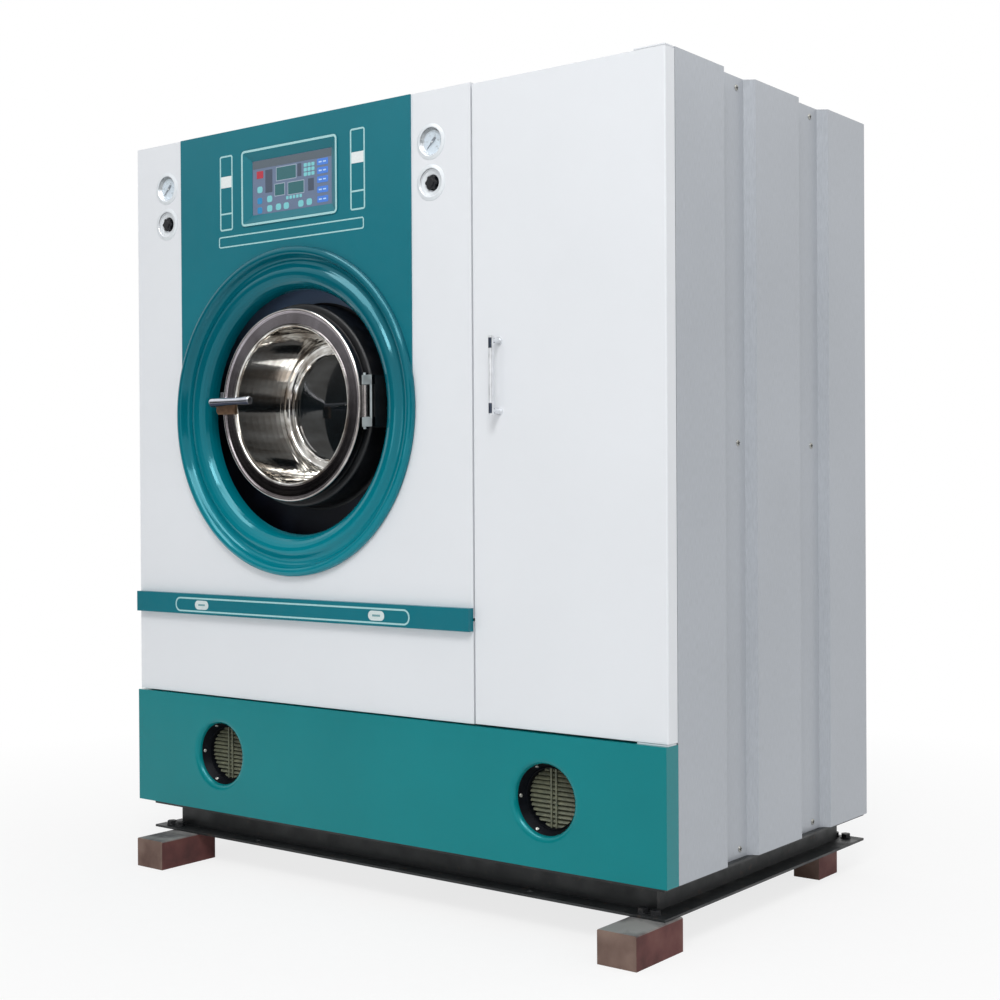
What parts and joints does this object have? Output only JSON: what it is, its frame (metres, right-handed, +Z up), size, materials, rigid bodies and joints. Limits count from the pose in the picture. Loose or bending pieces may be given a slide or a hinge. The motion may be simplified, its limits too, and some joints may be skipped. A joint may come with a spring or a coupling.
{
  "type": "dry cleaning machine",
  "caption": "Front-loading dry cleaning machine with a round dished door, a teal port surround and a tall service door on a black base.",
  "frame": {"origin": "on the floor, in the middle of the whole machine's bounding box, under its support blocks", "axes": "+Z up, +X to the right seen from the front, +Y from the front to the back"},
  "size_m": [1.5, 1.0326, 1.702],
  "materials": {
    "base_black": "satin black paint on steel",
    "grille_black": "black painted vent ring and slats",
    "block_rust": "worn, rusty primer on steel blocks",
    "zinc_steel": "zinc plated fasteners",
    "teal_paint": "gloss teal enamel",
    "white_paint": "satin white enamel",
    "grey_paint": "pale grey enamel",
    "screen_glass": "lit touch screen behind a clear cover",
    "gauge_chrome": "bright rim and white dial",
    "clear_glass": "clear gauge lens",
    "needle_black": "black needle",
    "knob_plastic": "black plastic knob",
    "handle_chrome": "bright chrome",
    "pipe_brass": "plain brass fitting",
    "tub_steel": "dull stainless sheet",
    "tub_dark": "dark slate paint",
    "seal_rubber": "black rubber",
    "door_steel": "polished and brushed stainless steel",
    "door_glass": "dark smoked glass",
    "bracket_bronze": "brown bronze casting",
    "drum_steel": "stainless steel",
    "pulley_iron": "machined cast iron",
    "motor_blue": "blue machine enamel"
  },
  "bodies": {
    "cabinet": {"base_frame": "base_black", "front_left_block": "block_rust", "front_right_block": "block_rust", "rear_left_block": "block_rust", "rear_right_block": "block_rust", "base_bolts": "zinc_steel", "skirt_panel": "teal_paint", "left_vent_grille": "grille_black", "right_vent_grille": "grille_black", "panel_screws": "zinc_steel", "lower_front_panel": "white_paint", "upper_front_panel": "white_paint", "fascia_plate": "teal_paint", "port_surround": "teal_paint", "trim_bar": "teal_paint", "display_bezel": "teal_paint", "touch_screen": "screen_glass", "gauge_cases": "gauge_chrome", "gauge_lenses": "clear_glass", "regulator_bezels": "gauge_chrome", "service_door_pivots": "zinc_steel", "left_side_panel": "grey_paint", "right_side_panel": "grey_paint", "rear_panel": "grey_paint", "top_panel": "grey_paint", "pipe_stubs": "pipe_brass", "cabinet_frame": "base_black", "tub_shell": "tub_steel", "tub_front": "tub_dark", "tub_cradle": "base_black", "door_frame": "base_black", "door_gasket": "seal_rubber", "hinge_yoke": "handle_chrome", "hinge_pin": "zinc_steel", "latch_keeper": "base_black", "bearing_housing": "base_black", "drive_motor": "motor_blue", "drive_belt": "seal_rubber", "solvent_tank": "tub_steel", "solvent_pump": "motor_blue", "filter_vessel": "tub_steel", "electrical_box": "grey_paint"},
    "loading_door": {"door_ring": "door_steel", "door_bowl": "door_steel", "door_glass": "door_glass", "glass_clamp": "zinc_steel", "door_hinge_arm": "door_steel", "latch_bracket": "bracket_bronze"},
    "lever": {"door_lever": "handle_chrome"},
    "front_service_door": {"service_door": "white_paint", "service_door_handle": "handle_chrome"},
    "left_needle": {"left_gauge_needle": "needle_black"},
    "right_needle": {"right_gauge_needle": "needle_black"},
    "left_knob": {"left_regulator_knob": "knob_plastic"},
    "right_knob": {"right_regulator_knob": "knob_plastic"},
    "drum": {"drum_front_ring": "drum_steel", "drum_cage": "drum_steel", "drum_spider": "drum_steel", "drum_pulley": "pulley_iron"},
    "motor_rotor": {"motor_pulley": "pulley_iron"}
  },
  "joints": [
    {"name": "loading_door_hinge", "type": "hinge", "parent": "cabinet", "child": "loading_door", "pos_m": [0.002, -0.41225, 1.065], "axis": [0, 0, 1], "range_deg": [0, 120]},
    {"name": "door_lever_turn", "type": "hinge", "parent": "loading_door", "child": "lever", "pos_m": [-0.4545, -0.43225, 1.078], "axis": [0, -1, 0], "range_deg": [0, 90]},
    {"name": "service_door_hinge", "type": "hinge", "parent": "cabinet", "child": "front_service_door", "pos_m": [0.742, -0.39625, 1.047], "axis": [0, 0, 1], "range_deg": [0, 110]},
    {"name": "left_gauge_needle_turn", "type": "hinge", "parent": "cabinet", "child": "left_needle", "pos_m": [-0.6425, -0.40885, 1.596], "axis": [0, 1, 0], "range_deg": [0, 270]},
    {"name": "right_gauge_needle_turn", "type": "hinge", "parent": "cabinet", "child": "right_needle", "pos_m": [0.1815, -0.40885, 1.596], "axis": [0, 1, 0], "range_deg": [0, 270]},
    {"name": "left_regulator_turn", "type": "hinge", "parent": "cabinet", "child": "left_knob", "pos_m": [-0.6425, -0.41825, 1.511], "axis": [0, 1, 0], "range_deg": [-720, 720]},
    {"name": "right_regulator_turn", "type": "hinge", "parent": "cabinet", "child": "right_knob", "pos_m": [0.1815, -0.41825, 1.511], "axis": [0, 1, 0], "range_deg": [-720, 720]},
    {"name": "drum_spin", "type": "hinge", "parent": "cabinet", "child": "drum", "pos_m": [-0.2305, 0.18775, 1.065], "axis": [0, 1, 0], "continuous": true},
    {"name": "motor_spin", "type": "hinge", "parent": "cabinet", "child": "motor_rotor", "pos_m": [-0.0905, 0.28875, 0.277], "axis": [0, 1, 0], "continuous": true}
  ],
  "couplings": [
    {"joint": "motor_spin", "follows": "drum_spin", "ratio": 4.4444}
  ]
}
